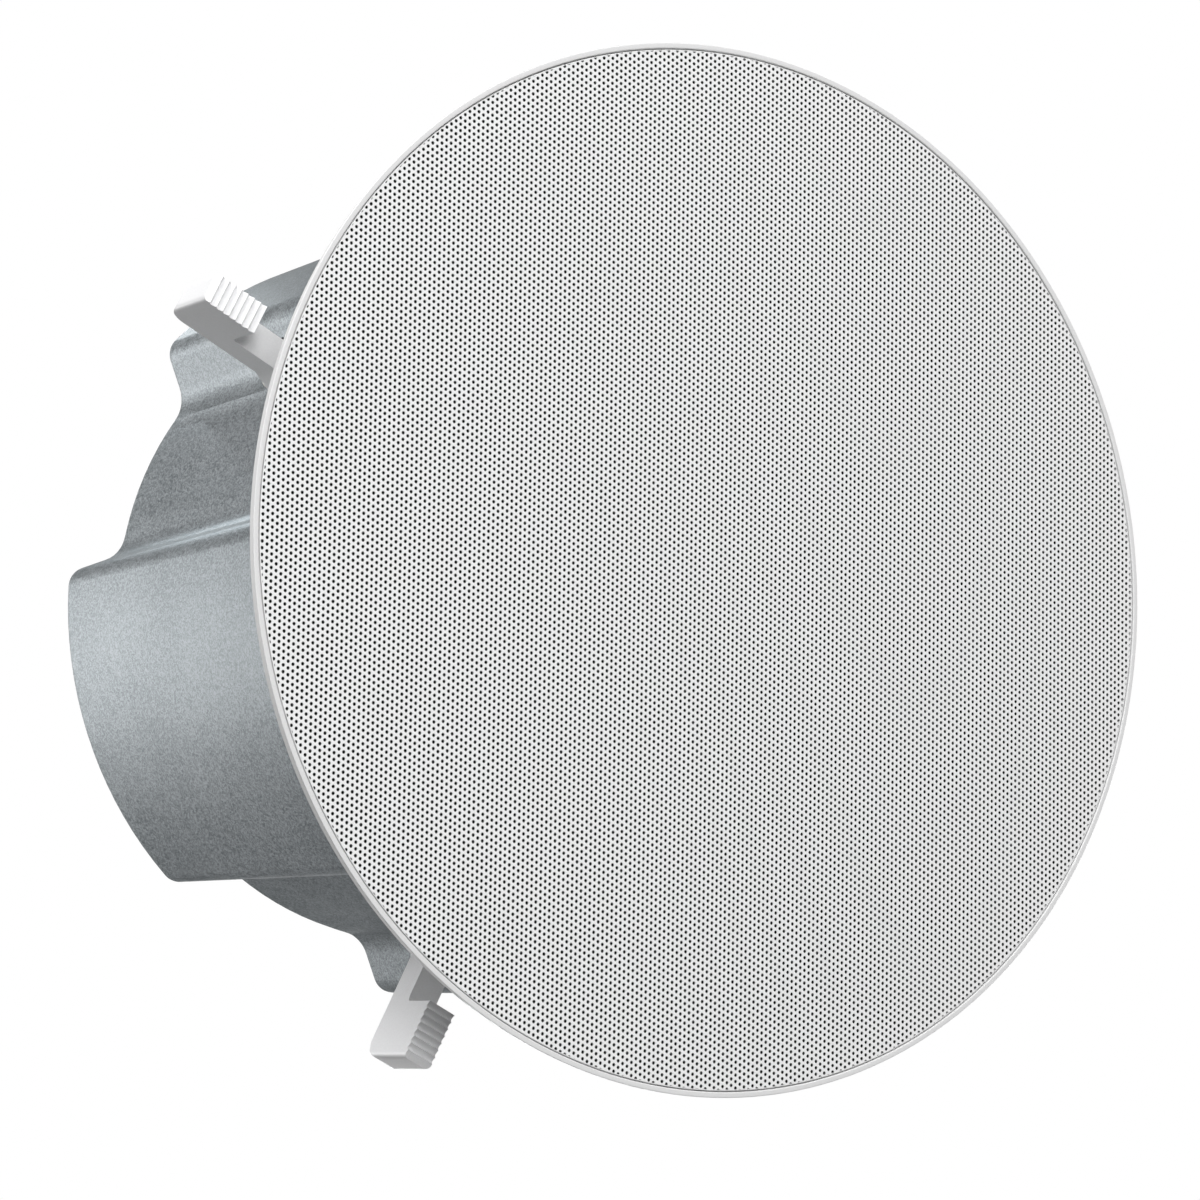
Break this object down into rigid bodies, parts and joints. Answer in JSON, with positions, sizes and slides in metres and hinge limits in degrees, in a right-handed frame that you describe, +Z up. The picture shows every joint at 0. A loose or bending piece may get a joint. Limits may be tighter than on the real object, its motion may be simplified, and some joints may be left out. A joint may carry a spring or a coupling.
{
  "type": "in-ceiling speaker",
  "caption": "Round in-ceiling loudspeaker: fine white perforated grille in a narrow trim ring, lobed silver back can, swing-out toothed clamps, woofer and tweeter.",
  "frame": {"origin": "centre of the trim ring's back face, level with the surface of the ceiling", "axes": "+Z up into the ceiling void, -Z into the room; the clamps stand on the X and Y axes"},
  "size_m": [0.296, 0.296, 0.193],
  "materials": {
    "white_abs": "fine moulded satin",
    "white_paint": "powder-coated perforated steel",
    "black_cloth": "thin woven acoustic cloth",
    "silver_can": "sandy metallic coating on sheet steel",
    "black_foam": "closed-cell foam",
    "zinc_steel": "zinc plated",
    "grey_abs": "moulded satin",
    "black_steel": "black coated",
    "black_rubber": "moulded butyl rubber",
    "cone_plastic": "mineral-filled polypropylene",
    "spider_cloth": "impregnated corrugated cloth",
    "former_aluminium": "thin rolled sheet",
    "copper_wire": "enamelled copper winding",
    "ferrite": "sintered and ground",
    "motor_steel": "zinc plated, turned",
    "black_abs": "moulded satin",
    "dome_silk": "coated silk",
    "board_resin": "solder-masked glass epoxy",
    "standoff_brass": "turned",
    "capacitor_film": "shrunk film",
    "resistor_ceramic": "cemented ceramic",
    "red_abs": "moulded",
    "black_button": "moulded"
  },
  "bodies": {
    "housing": {"baffle": "white_abs", "grille": "white_paint", "grille_cloth": "black_cloth", "grille_magnets": "zinc_steel", "back_can": "silver_can", "can_gasket": "black_foam", "can_screws": "zinc_steel", "woofer_basket": "black_steel", "woofer_surround": "black_rubber", "woofer_spider": "spider_cloth", "woofer_top_plate": "motor_steel", "woofer_magnet": "ferrite", "woofer_yoke": "motor_steel", "woofer_screws": "zinc_steel", "tweeter_bridge": "black_abs", "bridge_screws": "zinc_steel", "tweeter_faceplate": "black_abs", "tweeter_dome": "dome_silk", "tweeter_magnet": "ferrite", "crossover_standoffs": "standoff_brass", "crossover_board": "board_resin", "crossover_coils": "copper_wire", "crossover_capacitors": "capacitor_film", "crossover_resistor": "resistor_ceramic", "terminal_cup": "black_abs", "terminal_screws": "zinc_steel", "terminal_spring_red": "zinc_steel", "terminal_spring_black": "zinc_steel", "safety_loop": "zinc_steel", "loop_rivets": "zinc_steel"},
    "voice_coil": {"woofer_cone": "cone_plastic", "woofer_dust_cap": "cone_plastic", "voice_coil_former": "former_aluminium", "voice_coil_winding": "copper_wire"},
    "red_button": {"terminal_button_red": "red_abs"},
    "black_button": {"terminal_button_black": "black_button"},
    "clamp_post_1": {"clamp_screw_1": "zinc_steel"},
    "clamp_arm_1": {"clamp_dog_1": "grey_abs"},
    "clamp_post_2": {"clamp_screw_2": "zinc_steel"},
    "clamp_arm_2": {"clamp_dog_2": "grey_abs"},
    "clamp_post_3": {"clamp_screw_3": "zinc_steel"},
    "clamp_arm_3": {"clamp_dog_3": "grey_abs"},
    "clamp_post_4": {"clamp_screw_4": "zinc_steel"},
    "clamp_arm_4": {"clamp_dog_4": "grey_abs"}
  },
  "joints": [
    {"name": "clamp_swing_1", "type": "hinge", "parent": "housing", "child": "clamp_post_1", "pos_m": [0.11, 0, 0], "axis": [0, 0, -1], "range_deg": [0, 90]},
    {"name": "clamp_travel_1", "type": "slide", "parent": "clamp_post_1", "child": "clamp_arm_1", "axis": [0, 0, 1], "range_m": [-0.032, 0.008]},
    {"name": "clamp_swing_2", "type": "hinge", "parent": "housing", "child": "clamp_post_2", "pos_m": [0, 0.11, 0], "axis": [0, 0, -1], "range_deg": [0, 90]},
    {"name": "clamp_travel_2", "type": "slide", "parent": "clamp_post_2", "child": "clamp_arm_2", "axis": [0, 0, 1], "range_m": [-0.032, 0.008]},
    {"name": "clamp_swing_3", "type": "hinge", "parent": "housing", "child": "clamp_post_3", "pos_m": [-0.11, 0, 0], "axis": [0, 0, -1], "range_deg": [0, 90]},
    {"name": "clamp_travel_3", "type": "slide", "parent": "clamp_post_3", "child": "clamp_arm_3", "axis": [0, 0, 1], "range_m": [-0.032, 0.008]},
    {"name": "clamp_swing_4", "type": "hinge", "parent": "housing", "child": "clamp_post_4", "pos_m": [0, -0.11, 0], "axis": [0, 0, -1], "range_deg": [0, 90]},
    {"name": "clamp_travel_4", "type": "slide", "parent": "clamp_post_4", "child": "clamp_arm_4", "axis": [0, 0, 1], "range_m": [-0.032, 0.008]},
    {"name": "cone_stroke", "type": "slide", "parent": "housing", "child": "voice_coil", "axis": [0, 0, 1], "range_m": [-0.004, 0.004], "stiffness_N_per_m": 1500, "deforming": ["woofer_surround", "woofer_spider"]},
    {"name": "red_press", "type": "slide", "parent": "housing", "child": "red_button", "axis": [0, 0, -1], "range_m": [0, 0.003], "stiffness_N_per_m": 600, "springref_m": -0.002, "deforming": ["terminal_spring_red"]},
    {"name": "black_press", "type": "slide", "parent": "housing", "child": "black_button", "axis": [0, 0, -1], "range_m": [0, 0.003], "stiffness_N_per_m": 600, "springref_m": -0.002, "deforming": ["terminal_spring_black"]}
  ]
}
